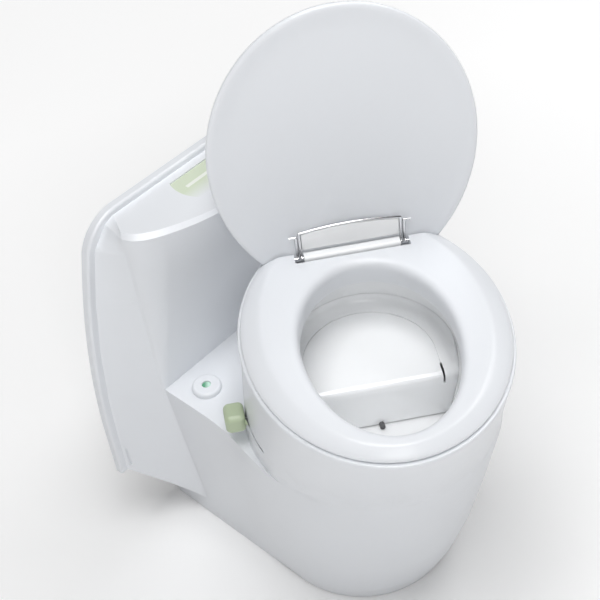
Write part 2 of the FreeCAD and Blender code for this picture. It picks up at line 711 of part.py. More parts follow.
def bowl_skirt():
    """Outer skirt, with the window that the valve's lever moves in."""
    skirt = skirt_form(0).cut(skirt_form(WALL))
    pivot = V(VALVE_XY[0], VALVE_XY[1], LEVER_Z)
    reach = [pivot + lever_direction(t) * (LEVER_L * WINDOW_SHARE) for t in (0, LEVER_SWING)]
    half = LEVER_R + WINDOW_MARGIN
    ys = [p.y for p in reach]
    window = box((-SKIRT_R - 4 * WALL, VALVE_XY[0] - VALVE_HUB_R), (min(ys) - half, max(ys) + half),
                 (LEVER_Z - half, LEVER_Z + half))
    return skirt.cut(window)


def well_form(inset):
    """Inside of the bowl, from the mouth down to its round foot."""
    foot = egg(WELL_R, WELL_R, WELL_R, 0, WELL_LOW, inset)
    mouth = egg(MOUTH_HALF_W, MOUTH_REAR, MOUTH_FRONT, MOUTH_Y, RIM_LOW, inset)
    ledge = egg(LEDGE_HALF_W, LEDGE_REAR, LEDGE_FRONT, 0, LEDGE_Z, inset)
    return loft([foot, ledge, mouth])


def bowl_liner():
    """Inner bowl, hung from the rim by its flange."""
    flange = prism(egg(MOUTH_HALF_W, MOUTH_REAR, MOUTH_FRONT, MOUTH_Y, RIM_LOW - WALL, -MOUTH_FLANGE), WALL)
    return fused([well_form(-WALL), flange]).cut(well_form(0))


def plateau_outline(grow, z):
    """Plan of the plateau: round at the rear, nearly straight towards the front."""
    return egg(PLATEAU_R + grow, PLATEAU_R + grow, PLATEAU_RUN, 0, z)


def cove_outline(draw, z):
    """Plan of the cove, drawn in from the inner bowl's wall by a share of its width."""
    share = max(0, (z - LEDGE_Z) / (RIM_LOW - LEDGE_Z))
    half = LEDGE_HALF_W + (MOUTH_HALF_W - LEDGE_HALF_W) * share - COVE_SIDE * draw
    rear = LEDGE_REAR + (MOUTH_REAR - LEDGE_REAR) * share - COVE_REAR * draw
    return egg(half, rear, LEDGE_FRONT + (PLATEAU_RUN - LEDGE_FRONT) * draw, MOUTH_Y * share, z)


def plateau_insert():
    """Raised rear part of the bowl with a straight front edge, hollow below, and a cove up to the wall."""
    reach = 2 * WELL_R
    front = box((-reach, reach), (PLATEAU_EDGE_Y, reach), (WELL_LOW, PLATEAU_Z))
    hollow = box((-reach, reach), (PLATEAU_EDGE_Y + WALL, reach), (WELL_LOW, PLATEAU_Z - WALL))
    insert = well_form(SNUG).common(front).cut(well_form(SNUG + WALL).common(hollow))
    low, half = PLATEAU_Z - GROOVE, GROOVE / 2
    groove = prism(plateau_outline(half, low), GROOVE).cut(prism(plateau_outline(-half, low), GROOVE))
    above = box((-reach, reach), (PLATEAU_EDGE_Y, reach), (PLATEAU_Z, PLATEAU_Z + COVE_H))
    dish = loft([cove_outline(draw, PLATEAU_Z + COVE_H * rise) for draw, rise in COVE])
    cove = well_form(SNUG).common(above).cut(dish)
    return insert.cut(groove).fuse(cove)


def valve_seal():
    return ring(WELL_R + WALL, WELL_R - SEAL_LIP, SEAL_LOW, WELL_LOW)


def valve_pivot():
    x, y = VALVE_XY
    head = LEVER_Z + VALVE_HUB_R + FIT
    pin = rod(VALVE_PIN_R, V(x, y, BOWL_FLOOR_LOW), Z, head - BOWL_FLOOR_LOW)
    return fused([pin, rod(VALVE_PIN_R + PIN_HEAD, V(x, y, head), Z, PIN_HEAD)])


def valve_blade():
    """Sliding gate that closes the outlet, on the valve's hub."""
    x, y = VALVE_XY
    gate = outlet(BLADE_R, BLADE_LAP, BLADE_LOW, BLADE_T)
    inner, low = -BLADE_R / 2, BLADE_LOW
    arm = polygon([(x, y + VALVE_HUB_R, low), (x, y - VALVE_HUB_R, low),
                   (inner, y - 2 * VALVE_HUB_R, low), (inner, y + VALVE_HUB_R, low)])
    hub = rod(VALVE_HUB_R, V(x, y, BLADE_LOW), Z, BLADE_T)
    blade = fused([gate, prism(arm, BLADE_T), hub])
    return blade.cut(rod(VALVE_PIN_R + RUNNING, V(x, y, BLADE_LOW), Z, BLADE_T))


def valve_lever():
    """Hub on the blade and the stem that leaves through the skirt's window."""
    x, y = VALVE_XY
    low = BLADE_LOW + BLADE_T
    hub = rod(VALVE_HUB_R, V(x, y, low), Z, LEVER_Z + VALVE_HUB_R - low)
    stem = rod(LEVER_R, V(x, y, LEVER_Z), lever_direction(0), LEVER_L)
    lever = fused([hub, stem.cut(valve_knob())])
    return lever.cut(rod(VALVE_PIN_R + RUNNING, V(x, y, low), Z, LEVER_Z + VALVE_HUB_R - low))


def valve_knob():
    long, wide, high = KNOB
    knob = box((-long / 2, long / 2), (-wide / 2, wide / 2), (-high / 2, high / 2))
    knob = knob.makeFillet(KNOB_ROUND, knob.Edges)
    knob.translate(V(VALVE_XY[0], VALVE_XY[1], LEVER_Z) + lever_direction(0) * LEVER_L)
    return knob


def rim_ring():
    """Rim that joins skirt and inner bowl and carries the seat."""
    outer = prism(egg(RIM_HALF_W, RIM_HALF_L, RIM_HALF_L, RIM_Y, RIM_LOW, -RIM_LIP), RIM_T)
    return outer.cut(prism(egg(MOUTH_HALF_W, MOUTH_REAR, MOUTH_FRONT, MOUTH_Y, RIM_LOW), RIM_T))


def flush_nozzle():
    """Flush spout under the rim, against the left wall of the inner bowl."""
    block = box((-MOUTH_HALF_W, NOZZLE_D - MOUTH_HALF_W), (MOUTH_Y - NOZZLE_W / 2, MOUTH_Y + NOZZLE_W / 2),
                (RIM_LOW - NOZZLE_H, RIM_LOW))
    return block.common(well_form(SNUG))


def wire_run(points):
    """Bent wire: rods joined by balls."""
    pieces = []
    for a, b in zip(points, points[1:]):
        pieces.append(rod(WIRE_R, a, b - a, (b - a).Length))
        pieces.append(Part.makeSphere(WIRE_R, b))
    return fused(pieces[:-1]).Solids[0]


def lid_hinge_wire():
    """Steel wires on the lid. The inner one pivots in the hinge block, the outer ones in the seat."""
    z = LID_LOW - WIRE_R
    inner = BLOCK_HALF_W + WIRE_GAP + WIRE_R
    outer, cross = inner + WIRE_PITCH, HINGE_Y - WIRE_ARM
    half = [V(inner, HINGE_Y, z), V(inner, HINGE_Y, HINGE_Z), V(inner - PIVOT_IN, HINGE_Y, HINGE_Z)]
    bar = []
    for k in range(WIRE_BOW_STEPS + 1):
        share = 2 * k / WIRE_BOW_STEPS - 1
        bar.append(V(inner * share, cross - WIRE_BOW * (1 - share**2), z))
    wires = [wire_run([other(p) for p in reversed(half)] + bar + half)]
    for s in (-1, 1):
        foot = HINGE_Y - WIRE_SHORT
        wires.append(wire_run([V(s * (outer + WIRE_FOOT), foot, z), V(s * outer, foot, z),
                               V(s * outer, HINGE_Y, z), V(s * outer, HINGE_Y, HINGE_Z),
                               V(s * (outer + PIVOT_OUT), HINGE_Y, HINGE_Z)]))
    return opened(Part.makeCompound(wires))


def opened(shape):
    """Turn a lid piece from closed to its rest angle."""
    shape.rotate(V(0, HINGE_Y, HINGE_Z), X, -LID_OPEN)
    return shape


def hinge_bore(reach):
    """Both hinge holes at once, as far out as asked."""
    return rod(WIRE_R + RUNNING, V(-reach, HINGE_Y, HINGE_Z), X, 2 * reach)


def hinge_block():
    """Cover on the rim that the hinge wire pivots in."""
    wide = (-BLOCK_HALF_W, BLOCK_HALF_W)
    top = HINGE_Z + KNUCKLE_R
    front = box(wide, (BLOCK_FRONT, HINGE_Y), (RIM_Z, top))
    upper = [e for e in front.Edges if e.BoundBox.ZMin > top - FIT]
    front = front.makeFillet(BLOCK_ROUND, [e for e in upper if e.BoundBox.YMax < BLOCK_FRONT + FIT])
    support = box(wide, (HINGE_Y, HINGE_Y + KNUCKLE_R), (RIM_Z, HINGE_Z))
    knuckle = rod(KNUCKLE_R, V(-BLOCK_HALF_W, HINGE_Y, HINGE_Z), X, 2 * BLOCK_HALF_W)
    middle = BLOCK_HALF_W - PIVOT_IN
    bores = hinge_bore(BLOCK_HALF_W).cut(box((-middle, middle), (0, 2 * HINGE_Y), (RIM_Z, 2 * HINGE_Z)))
    return fused([front, support, knuckle]).cut(bores)


def seat_outline(z, share):
    """Seat's outline, drawn in by a share of the full draw."""
    side, end = SEAT_SIDE_DRAW * share, SEAT_END_DRAW * share
    return egg(SEAT_HALF_W - side, SEAT_REAR - end, SEAT_FRONT - end, SEAT_Y, z)


def hole_outline(z, grow):
    return egg(HOLE_HALF_W, HOLE_REAR, HOLE_FRONT, HOLE_Y, z, -grow)


def seat_ring():
    """Seat with sloped sides, a notch for the hinge block and bores for the hinge wire."""
    shoulder = SEAT_LOW + (SEAT_TOP - SEAT_LOW) * SEAT_SHOULDER
    form = loft([seat_outline(SEAT_LOW, 0), seat_outline(shoulder, SEAT_SHOULDER_DRAW),
                 seat_outline(SEAT_TOP, 1)])
    bevel_z, low, wide = SEAT_TOP - HOLE_BEVEL, SEAT_LOW - SEAT_LIP, 2 * SEAT_HALF_W
    under = polygon([(-wide, HOLE_Y + HOLE_REAR, low), (-wide, HOLE_Y - HOLE_FRONT, SEAT_LOW),
                     (-wide, HOLE_Y - HOLE_FRONT, low)])
    lip = prism(hole_outline(low, SEAT_LIP_T), SEAT_LIP).cut(Part.Face(under).extrude(X * 2 * wide))
    lip = lip.cut(box((-wide, wide), (-wide, HOLE_Y - HOLE_FRONT), (low, SEAT_LOW)))
    hole = loft([hole_outline(low, 0), hole_outline(bevel_z, 0), hole_outline(SEAT_TOP, HOLE_BEVEL)])
    seat = fused([form, lip]).cut(hole)
    seat = seat.cut(box((-wide, wide), (HINGE_Y + SEAT_BEHIND, wide), (SEAT_LOW, SEAT_TOP)))
    seat = seat.cut(box((-NOTCH_HALF_W, NOTCH_HALF_W), (BLOCK_FRONT - NOTCH_GAP, wide), (SEAT_LOW, SEAT_TOP)))
    return seat.cut(hinge_bore(BLOCK_HALF_W + WIRE_GAP + 2 * WIRE_R + WIRE_PITCH + PIVOT_OUT))


def seat_bumpers():
    pads = []
    for x, y in BUMPERS:
        for s in (-1, 1):
            pads.append(rod(BUMPER_R, V(s * x, y, RIM_Z + FIT), Z, SEAT_LOW - RIM_Z - FIT))
    return Part.makeCompound(pads)


def lid_outline(z, draw):
    return egg(LID_HALF_W, LID_REAR, LID_FRONT, LID_Y, z, draw)


def lid_shell():
    """Lid with a crowned top and a dished inside, drawn closed and then opened."""
    top, wide = LID_LOW + LID_RISE, 2 * LID_HALF_W
    rear = HINGE_Y + LID_BEHIND
    form = loft([lid_outline(LID_LOW, 0), lid_outline(LID_LOW + LID_RISE * LID_SHOULDER, LID_SIDE_DRAW),
                 lid_outline(top, LID_CROWN_DRAW)])
    form = form.cut(box((-wide, wide), (rear, wide), (LID_LOW, top)))
    dish = loft([lid_outline(LID_LOW, LID_RIM), lid_outline(LID_LOW + LID_DISH, LID_RIM + LID_DISH_DRAW)])
    dish = dish.cut(box((-wide, wide), (rear - LID_RIM, wide), (LID_LOW, top)))
    dish = dish.cut(box((-LID_PAD_HALF_W, LID_PAD_HALF_W), (HINGE_Y - LID_PAD_L, wide), (LID_LOW, top)))
    return opened(form.cut(dish))


def tank_form(inset):
    wire = u_outline(TANK_HALF_W - inset, NOSE_Y, TANK_HALF_W - inset, TANK_LOW + inset, TANK_REAR - inset)
    mouth = rod(TANK_HALF_W - inset, V(0, 0, TANK_TOP - TANK_MOUTH_H + inset), Z, TANK_MOUTH_H - 2 * inset)
    return fused([prism(wire, TANK_TOP - TANK_LOW - 2 * inset), mouth])


def wheel_notch(grow):
    """Space for the right wheel in the tank's lower edge."""
    x = TANK_HALF_W - WHEEL_NOTCH
    reach = WHEEL_R + WHEEL_ROOM + grow
    top = TANK_LOW + 2 * WHEEL_R + WHEEL_ROOM + grow
    return box((x - grow, TANK_HALF_W + WALL), (WHEEL_Y - reach, WHEEL_Y + reach), (0, top))


def tank_body():
    """Blow-moulded waste tank with its inlet on top and a notch for each wheel."""
    outer, inner = tank_form(0), tank_form(WALL)
    notch, space = wheel_notch(0), wheel_notch(WALL)
    outer, inner = outer.cut(notch).cut(mirrored(notch)), inner.cut(space).cut(mirrored(space))
    tank = outer.cut(inner).cut(rod(INLET_R, V(0, 0, TANK_TOP - WALL), Z, WALL))
    x, z = SPOUT_X, SPOUT_Z
    return tank.cut(rod(SPOUT_R - WALL, V(x, TANK_REAR - WALL, z), Y, WALL))


def tank_inlet_seal():
    return ring(INLET_SEAL_R, INLET_R - INLET_SEAL_LIP, TANK_TOP, TANK_TOP + INLET_SEAL_T)


def wheel_place(side):
    return V(side * (TANK_HALF_W - WHEEL_NOTCH), WHEEL_Y, TANK_LOW + WHEEL_R)


def wheel_axles():
    """Stub axles in the tank's notches, with a head that keeps the wheel on."""
    stubs = []
    for side in (-1, 1):
        at, out = wheel_place(side), X * side
        length = WHEEL_SIDE + WHEEL_W + FIT
        head = rod(AXLE_HEAD_R, at + out * length, out, AXLE_HEAD_T)
        stubs.append(rod(AXLE_R, at, out, length).fuse(head).removeSplitter())
    return Part.makeCompound([s.Solids[0] for s in stubs])


def tank_wheel(side):
    at, out = wheel_place(side) + X * (side * WHEEL_SIDE), X * side
    wheel = rod(WHEEL_R, at, out, WHEEL_W)
    wheel = wheel.makeFillet(WHEEL_EDGE, [e for e in wheel.Edges if e.BoundBox.XLength < FIT])
    return wheel.cut(rod(AXLE_R + RUNNING, at, out, WHEEL_W))


def handle_brackets():
    """Two ears on the tank's rear, with the pins that the handle folds on."""
    ears, half = [], HANDLE_T / 2
    for s in (-1, 1):
        inside, outside = HANDLE_HALF_W + FIT, HANDLE_HALF_W + FIT + BRACKET_T
        wide = (min(s * inside, s * outside), max(s * inside, s * outside))
        ear = box(wide, (TANK_REAR, HANDLE_Y + half), (HANDLE_Z - half, HANDLE_Z + half))
        pin = rod(HANDLE_PIN_R, V(s * inside, HANDLE_Y, HANDLE_Z), X * -s, HANDLE_T + FIT)
        ears.append(ear.fuse(pin).removeSplitter().Solids[0])
    return Part.makeCompound(ears)


def tank_handle():
    """Folding carry handle, hanging flat behind the tank at rest."""
    half, t = HANDLE_HALF_W, HANDLE_T
    deep = (HANDLE_Y - t / 2, HANDLE_Y + t / 2)
    legs = [box((s * half - (t if s > 0 else 0), s * half + (0 if s > 0 else t)), deep,
                (HANDLE_Z - HANDLE_DROP, HANDLE_Z)) for s in (-1, 1)]
    eyes = [rod(t / 2, V(s * half, HANDLE_Y, HANDLE_Z), X * -s, t) for s in (-1, 1)]
    grip = rod(t / 2, V(-half, HANDLE_Y, HANDLE_Z - HANDLE_DROP), X, 2 * half)
    handle = fused(legs + eyes + [grip])
    for s in (-1, 1):
        handle = handle.cut(rod(HANDLE_PIN_R + RUNNING, V(s * half, HANDLE_Y, HANDLE_Z), X * -s, t + 2 * FIT))
    return handle


def spout_collar():
    at = V(SPOUT_X, TANK_REAR, SPOUT_Z)
    return rod(COLLAR_R, at, Y, COLLAR_T).cut(rod(SPOUT_R - WALL, at, Y, COLLAR_T))


def spout_elbow():
    """Emptying spout that turns on the tank's rear, hollow from the tank to the cap."""
    start = TANK_REAR + COLLAR_T + FIT
    back = SPOUT_Y + SPOUT_R + WALL / 2
    hub = rod(SPOUT_HUB_R, V(SPOUT_X, start, SPOUT_Z), Y, back - start)
    tube = rod(SPOUT_R, V(SPOUT_X, SPOUT_Y, SPOUT_Z), X, SPOUT_L)
    bore = SPOUT_R - WALL
    bend = V(SPOUT_X, SPOUT_Y, SPOUT_Z)
    entry = rod(bore, V(SPOUT_X, start, SPOUT_Z), Y, SPOUT_Y - start)
    inside = fused([entry, rod(bore, bend, X, SPOUT_L), Part.makeSphere(bore, bend)])
    return fused([hub, tube]).cut(inside)


def spout_cap():
    """Screw cap over the spout's end, with grip ribs."""
    at = V(SPOUT_X + SPOUT_L + FIT, SPOUT_Y, SPOUT_Z)
    plug = rod(SPOUT_R - WALL - RUNNING, at - X * CAP_PLUG, X, CAP_PLUG)
    cap = fused([plug, rod(CAP_R, at, X, CAP_L)])
    for k in range(CAP_RIBS):
        turn = 2 * pi * k / CAP_RIBS
        edge = at + V(CAP_FLANGE, CAP_R * cos(turn), CAP_R * sin(turn))
        cap = cap.cut(rod(CAP_GROOVE_R, edge, X, CAP_L))
    return cap


def vent_housing():
    at = V(VENT_X, TANK_REAR, VENT_Z)
    housing = rod(VENT_R + WALL, at, Y, 2 * VENT_TRAVEL)
    return housing.cut(rod(VENT_R + FIT, at + Y * WALL, Y, 2 * VENT_TRAVEL))


def vent_button():
    at = V(VENT_X, TANK_REAR + WALL + VENT_TRAVEL + FIT, VENT_Z)
    button = rod(VENT_R, at, Y, 2 * VENT_TRAVEL)
    return button.makeFillet(VENT_EDGE, [e for e in button.Edges if e.BoundBox.YMin > at.y + VENT_TRAVEL])


os.makedirs("parts", exist_ok=True)

save("base_shell", base_shell())
save("base_floor", base_floor())
save("guide_rails", guide_rails())
save("console_shell", console_shell())
save("rear_flange", rear_flange())
save("control_panel", control_panel())
save("control_board", control_board())
save("flush_button", flush_button())
save("gauge_housing", gauge_housing())
save("gauge_lens", gauge_lens())
save("bearing_ring", bearing_ring())
save("bearing_screws", bearing_screws())
save("water_valve", water_valve())
save("flush_hose", flush_hose())
save("hose_elbow", hose_elbow())

save("bowl_floor", bowl_floor(), turned=True)
save("retaining_ring", retaining_ring(), turned=True)
save("bowl_skirt", bowl_skirt(), turned=True)
save("bowl_liner", bowl_liner(), turned=True)
save("plateau_insert", plateau_insert(), turned=True)
save("valve_seal", valve_seal(), turned=True)
save("valve_pivot", valve_pivot(), turned=True)
save("valve_blade", valve_blade(), turned=True)
save("valve_lever", valve_lever(), turned=True)
save("valve_knob", valve_knob(), turned=True)
save("rim_ring", rim_ring(), turned=True)
save("flush_nozzle", flush_nozzle(), turned=True)
save("hinge_block", hinge_block(), turned=True)
save("lid_hinge_wire", lid_hinge_wire(), turned=True)
save("seat_ring", seat_ring(), turned=True)
save("seat_bumpers", seat_bumpers(), turned=True)
save("lid_shell", lid_shell(), turned=True)

save("tank_body", tank_body())
save("tank_inlet_seal", tank_inlet_seal())
save("wheel_axles", wheel_axles())
save("wheel_left", tank_wheel(-1))
save("wheel_right", tank_wheel(1))
save("handle_brackets", handle_brackets())
save("tank_handle", tank_handle())
save("spout_collar", spout_collar())
save("spout_elbow", spout_elbow())
save("spout_cap", spout_cap())
save("vent_housing", vent_housing())
save("vent_button", vent_button())
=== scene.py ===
"""Looks of the cassette toilet: finishes, rounded mouldings, seat and lid, light and camera."""
import json
from math import cos, radians, sin
import bmesh
import bpy
from mathutils import Matrix, Vector

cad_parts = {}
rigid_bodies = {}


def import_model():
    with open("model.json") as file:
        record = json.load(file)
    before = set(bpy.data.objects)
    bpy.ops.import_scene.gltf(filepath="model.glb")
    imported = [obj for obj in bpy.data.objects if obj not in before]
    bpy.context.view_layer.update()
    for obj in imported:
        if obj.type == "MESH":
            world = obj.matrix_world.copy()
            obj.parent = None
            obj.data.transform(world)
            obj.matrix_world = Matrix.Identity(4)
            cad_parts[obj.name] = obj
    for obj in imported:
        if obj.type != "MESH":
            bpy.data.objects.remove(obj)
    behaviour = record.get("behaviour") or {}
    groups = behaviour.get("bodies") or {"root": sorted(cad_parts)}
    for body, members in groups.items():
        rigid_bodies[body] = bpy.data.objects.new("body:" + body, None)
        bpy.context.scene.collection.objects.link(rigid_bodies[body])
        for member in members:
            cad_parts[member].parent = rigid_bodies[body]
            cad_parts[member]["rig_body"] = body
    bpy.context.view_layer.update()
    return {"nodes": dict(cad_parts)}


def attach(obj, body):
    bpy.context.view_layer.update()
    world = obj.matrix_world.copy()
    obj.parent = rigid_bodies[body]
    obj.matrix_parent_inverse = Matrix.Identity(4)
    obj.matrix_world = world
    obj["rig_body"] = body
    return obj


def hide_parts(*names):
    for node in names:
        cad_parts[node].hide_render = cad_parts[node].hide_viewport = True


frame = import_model()

# Pedestal: one large injection moulding in white gloss plastic, with the flat shelf that the bowl
# turns on. Its lower edge is scuffed by shoes and mops, and a bare pale patch at the right of its
# front keeps the place of a label.


class Flow:
    """A shader socket that takes part in plain sums."""

    def __init__(self, finish, socket):
        self.finish, self.socket = finish, socket

    def sum(self, operation, a, b):
        return self.finish.node("ShaderNodeMath", {"operation": operation}, {0: a, 1: b})

    def __add__(self, other):
        return self.sum("ADD", self, other)

    def __radd__(self, other):
        return self.sum("ADD", other, self)

    def __sub__(self, other):
        return self.sum("SUBTRACT", self, other)

    def __rsub__(self, other):
        return self.sum("SUBTRACT", other, self)

    def __mul__(self, other):
        return self.sum("MULTIPLY", self, other)

    def __rmul__(self, other):
        return self.sum("MULTIPLY", other, self)

    def __gt__(self, other):
        return self.sum("GREATER_THAN", self, other)

    def __lt__(self, other):
        return self.sum("LESS_THAN", self, other)


class Finish:
    """A material or a world, with one method that adds any node to it."""

    def __init__(self, owner, shader="Principled BSDF"):
        owner.use_nodes = True
        self.owner, self.tree = owner, owner.node_tree
        self.shader = self.tree.nodes[shader]

    def fill(self, node, sockets):
        for key, value in sockets.items():
            if isinstance(value, Flow):
                self.tree.links.new(value.socket, node.inputs[key])
            else:
                node.inputs[key].default_value = value

    def node(self, kind, settings={}, sockets={}, out=0):
        node = self.tree.nodes.new(kind)
        for key, value in settings.items():
            if key == "stops":
                ramp = node.color_ramp.elements
                while len(ramp) < len(value):
                    ramp.new(0.5)
                for stop, (place, shade) in zip(ramp, value):
                    stop.position, stop.color = place, (shade, shade, shade, 1)
            else:
                setattr(node, key, value)
        self.fill(node, sockets)
        return Flow(self, node.outputs[out])

    def place(self):
        return self.node("ShaderNodeTexCoord", out="Object")

    def along(self):
        """The three object coordinates as numbers, in metres."""
        split = self.node("ShaderNodeSeparateXYZ", {}, {0: self.place()})
        return [Flow(self, o) for o in split.socket.node.outputs]

    def noise(self, scale, detail=3.0):
        sockets = {"Vector": self.place(), "Scale": scale, "Detail": detail}
        return self.node("ShaderNodeTexNoise", {}, sockets)

    def ramp(self, value, stops):
        return self.node("ShaderNodeValToRGB", {"stops": stops}, {0: value})

    def mix(self, share, a, b):
        return self.node("ShaderNodeMix", {"data_type": "RGBA"}, {0: share, 6: a, 7: b}, 2)

    def coat(self, **sockets):
        self.fill(self.shader, {key.replace("_", " "): value for key, value in sockets.items()})


def tone(colour, factor=1.0):
    return tuple(min(c * factor, 1.0) for c in colour) + (1,)


CLOUDS, WAVES, SMEARS = 7.0, 28.0, 34.0    # how fine a moulding's unevenness is
WAVE_HEIGHT = 0.001
UNEVEN = 0.12                              # spread of the roughness
LACQUER = 0.15                             # roughness of the glossy skin


def moulded(name, colour, rough=0.37, gloss=0.2, wave=0.02, cloud=0.02):
    """Moulded plastic: faintly cloudy, unevenly glossy and slightly wavy, as large mouldings are."""
    finish = Finish(bpy.data.materials.new(name))
    shade = finish.mix(finish.noise(CLOUDS, 4.0), tone(colour, 1 - cloud), tone(colour, 1 + cloud))
    bump = finish.node("ShaderNodeBump", {},
                       {"Strength": wave, "Distance": WAVE_HEIGHT, "Height": finish.noise(WAVES, 1.0)})
    finish.coat(Base_Color=shade, Roughness=finish.noise(SMEARS) * UNEVEN + (rough - UNEVEN / 2),
                Coat_Weight=gloss, Coat_Roughness=LACQUER, Normal=bump)
    return finish, shade


def anywhere(spot):
    return True


def edit(piece):
    """Opens one piece in edit mode, with nothing else selected."""
    bpy.ops.object.select_all(action="DESELECT")
    bpy.context.view_layer.objects.active = piece
    piece.select_set(True)
    bpy.ops.object.mode_set(mode="EDIT")


MERGE = 0.00002                            # metres between corners that are one
FLAT = 0.4                                 # degrees between faces that are one


def recast(node, *rounds, steps=3, sharp=35, shape=None, flat=True):
    """A copy of a CAD node in its place. Each round is an edge size and, if need be, where, in mm."""
    solid = frame["nodes"][node]
    piece = bpy.data.objects.new(node + "_moulded", solid.data.copy())
    bpy.context.scene.collection.objects.link(piece)
    edit(piece)
    bpy.ops.mesh.select_mode(type="EDGE")
    bpy.ops.mesh.select_all(action="SELECT")
    bpy.ops.mesh.remove_doubles(threshold=MERGE)
    if flat:
        bpy.ops.mesh.dissolve_limited(angle_limit=radians(FLAT))
    if shape:
        shape(piece)
    for edge, *place in rounds:
        where = place[0] if place else anywhere
        bpy.ops.mesh.select_all(action="DESELECT")
        bpy.ops.mesh.edges_select_sharp(sharpness=radians(sharp))
        mesh = bmesh.from_edit_mesh(piece.data)
        for line in mesh.edges:
            if line.select and not where((line.verts[0].co + line.verts[1].co) / 2 * 1000):
                line.select_set(False)
        bmesh.update_edit_mesh(piece.data)
        bpy.ops.mesh.bevel(offset=edge / 1000, segments=steps, affect="EDGES", clamp_overlap=True)
    bpy.ops.object.mode_set(mode="OBJECT")
    bpy.ops.object.shade_smooth_by_angle(angle=radians(sharp))
    flats = piece.modifiers.new("flats", "WEIGHTED_NORMAL")
    flats.keep_sharp = True
    bpy.ops.object.modifier_apply(modifier=flats.name)
    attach(piece, solid["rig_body"])
    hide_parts(node)
    return piece


def wear(piece, finish):
    """Gives a piece its finish."""
    piece.data.materials.clear()
    piece.data.materials.append(finish.owner)


WHITE = (0.8, 0.82, 0.852)
LABEL_X, LABEL_Z, LABEL_REAR = (0.0, 0.14), (0.118, 0.146), -0.06
LABEL_SHARE, LABEL_WHITE = 0.35, (0.78, 0.79, 0.82)
SCUFF_TOP, SCUFF_SHARE, SCUFF_GREY = 0.03, 0.4, (0.62, 0.6, 0.57)
SHELF_LOW, SHELF_FRONT = 262.0, 40.0       # millimetres

pedestal_white, shade = moulded("pedestal_white", WHITE)
x, y, z = pedestal_white.along()
label = (x > LABEL_X[0]) * (x < LABEL_X[1]) * (y < LABEL_REAR) * (z > LABEL_Z[0]) * (z < LABEL_Z[1])
low_down = pedestal_white.ramp(z, [(0.0, 1.0), (SCUFF_TOP, 0.0)])
marks = pedestal_white.ramp(pedestal_white.noise(60.0, 8.0), [(0.5, 0.0), (0.75, 1.0)])
shade = pedestal_white.mix(label * LABEL_SHARE, shade, tone(LABEL_WHITE))
shade = pedestal_white.mix(low_down * marks * SCUFF_SHARE, shade, tone(SCUFF_GREY))
pedestal_white.coat(Base_Color=shade)


def open_shelf(spot):
    return spot.z > SHELF_LOW and spot.y > SHELF_FRONT


wear(recast("base_shell", (2.0, open_shelf)), pedestal_white)

# Console and wall flange: the same white moulding carried up behind the bowl. The flange's thick
# rim presses against the vehicle's wall, and a fine joint runs where the console meets it. A
# shallow groove marks the foot of each side.
CONSOLE_TOP, FLANGE_FRONT = 510.0, 276.0   # millimetres
GROOVE, GROOVE_TURN = (0.0032, 0.0054, 0.034), 35.0
GROOVE_X, GROOVE_Y, GROOVE_Z = 0.1952, 0.2714, 0.147


def console_top(spot):
    return spot.z > CONSOLE_TOP


def flange_front(spot):
    return spot.y < FLANGE_FRONT


def cut_out(piece, size, place, turned=0.0):
    """Cuts a box out of a piece, size and place in metres."""
    bpy.ops.object.select_all(action="DESELECT")
    bpy.ops.mesh.primitive_cube_add(size=1, location=place, rotation=(0, 0, radians(turned)),
                                    scale=size)
    block = bpy.context.object
    bpy.ops.object.select_all(action="DESELECT")
    bpy.context.view_layer.objects.active = piece
    piece.select_set(True)
    cut = piece.modifiers.new("cut", "BOOLEAN")
    cut.object, cut.operation, cut.solver = block, "DIFFERENCE", "EXACT"
    bpy.ops.object.modifier_apply(modifier=cut.name)
    bpy.data.objects.remove(block)


shell_white, _ = moulded("shell_white", WHITE)
console = recast("console_shell", (4.0, console_top), steps=4, sharp=20, flat=False)
for side in (-1, 1):
    cut_out(console, GROOVE, (side * GROOVE_X, GROOVE_Y, GROOVE_Z), side * GROOVE_TURN)
wear(console, shell_white)
wear(recast("rear_flange", (3.5, flange_front)), shell_white)

# Floor plate, guide rails, bearing, bowl floor and other inner mouldings: plain satin plastic,
# grey or pale, with just their edges broken, since nobody sees them once the toilet is fitted.
INNER_EDGE = 0.5
inner_grey, _ = moulded("inner_grey", (0.42, 0.43, 0.45), rough=0.5, gloss=0.0, cloud=0.06)
for node in ("base_floor", "guide_rails", "bearing_ring", "bowl_floor", "retaining_ring",
             "hose_elbow"):
    wear(recast(node, (INNER_EDGE,), steps=2), inner_grey)
inner_pale, _ = moulded("inner_pale", (0.86, 0.87, 0.88), gloss=0.1)
for node in ("valve_blade", "flush_nozzle"):
    wear(recast(node, (INNER_EDGE,), steps=2), inner_pale)

# Control panel: a pale green D-shaped insert, coloured in the mould and paling to white at its
# front, with one light band across it where the real one carries its legend. The light grey flush
# button stands in it.
FADE = [(0.15, 1.0), (0.38, 0.0)]          # from 0.2 m to 0.3 m along Y
BAND_FRONT, BAND_REAR, BAND_LEFT = 0.2405, 0.2455, -0.034
BAND_SHARE, BAND_PALE = 0.8, (0.9, 0.92, 0.88)
panel_green, shade = moulded("panel_green", (0.66, 0.73, 0.58))
x, y, z = panel_green.along()
band = (y > BAND_FRONT) * (y < BAND_REAR) * (x > BAND_LEFT)
shade = panel_green.mix(panel_green.ramp(y * 10 - 2, FADE), shade, tone(WHITE))
panel_green.coat(Base_Color=panel_green.mix(band * BAND_SHARE, shade, tone(BAND_PALE)))
wear(recast("control_panel", (0.6,), steps=2), panel_green)
button_grey, _ = moulded("button_grey", (0.74, 0.77, 0.74))
wear(recast("flush_button"), button_grey)

# Circuit board: green laminate under clear lacquer, its colour a little uneven, held below the
# panel.
board_green, _ = moulded("board_green", (0.03, 0.12, 0.05), gloss=0.3, cloud=0.15)
wear(recast("control_board", (0.2,), steps=1), board_green)
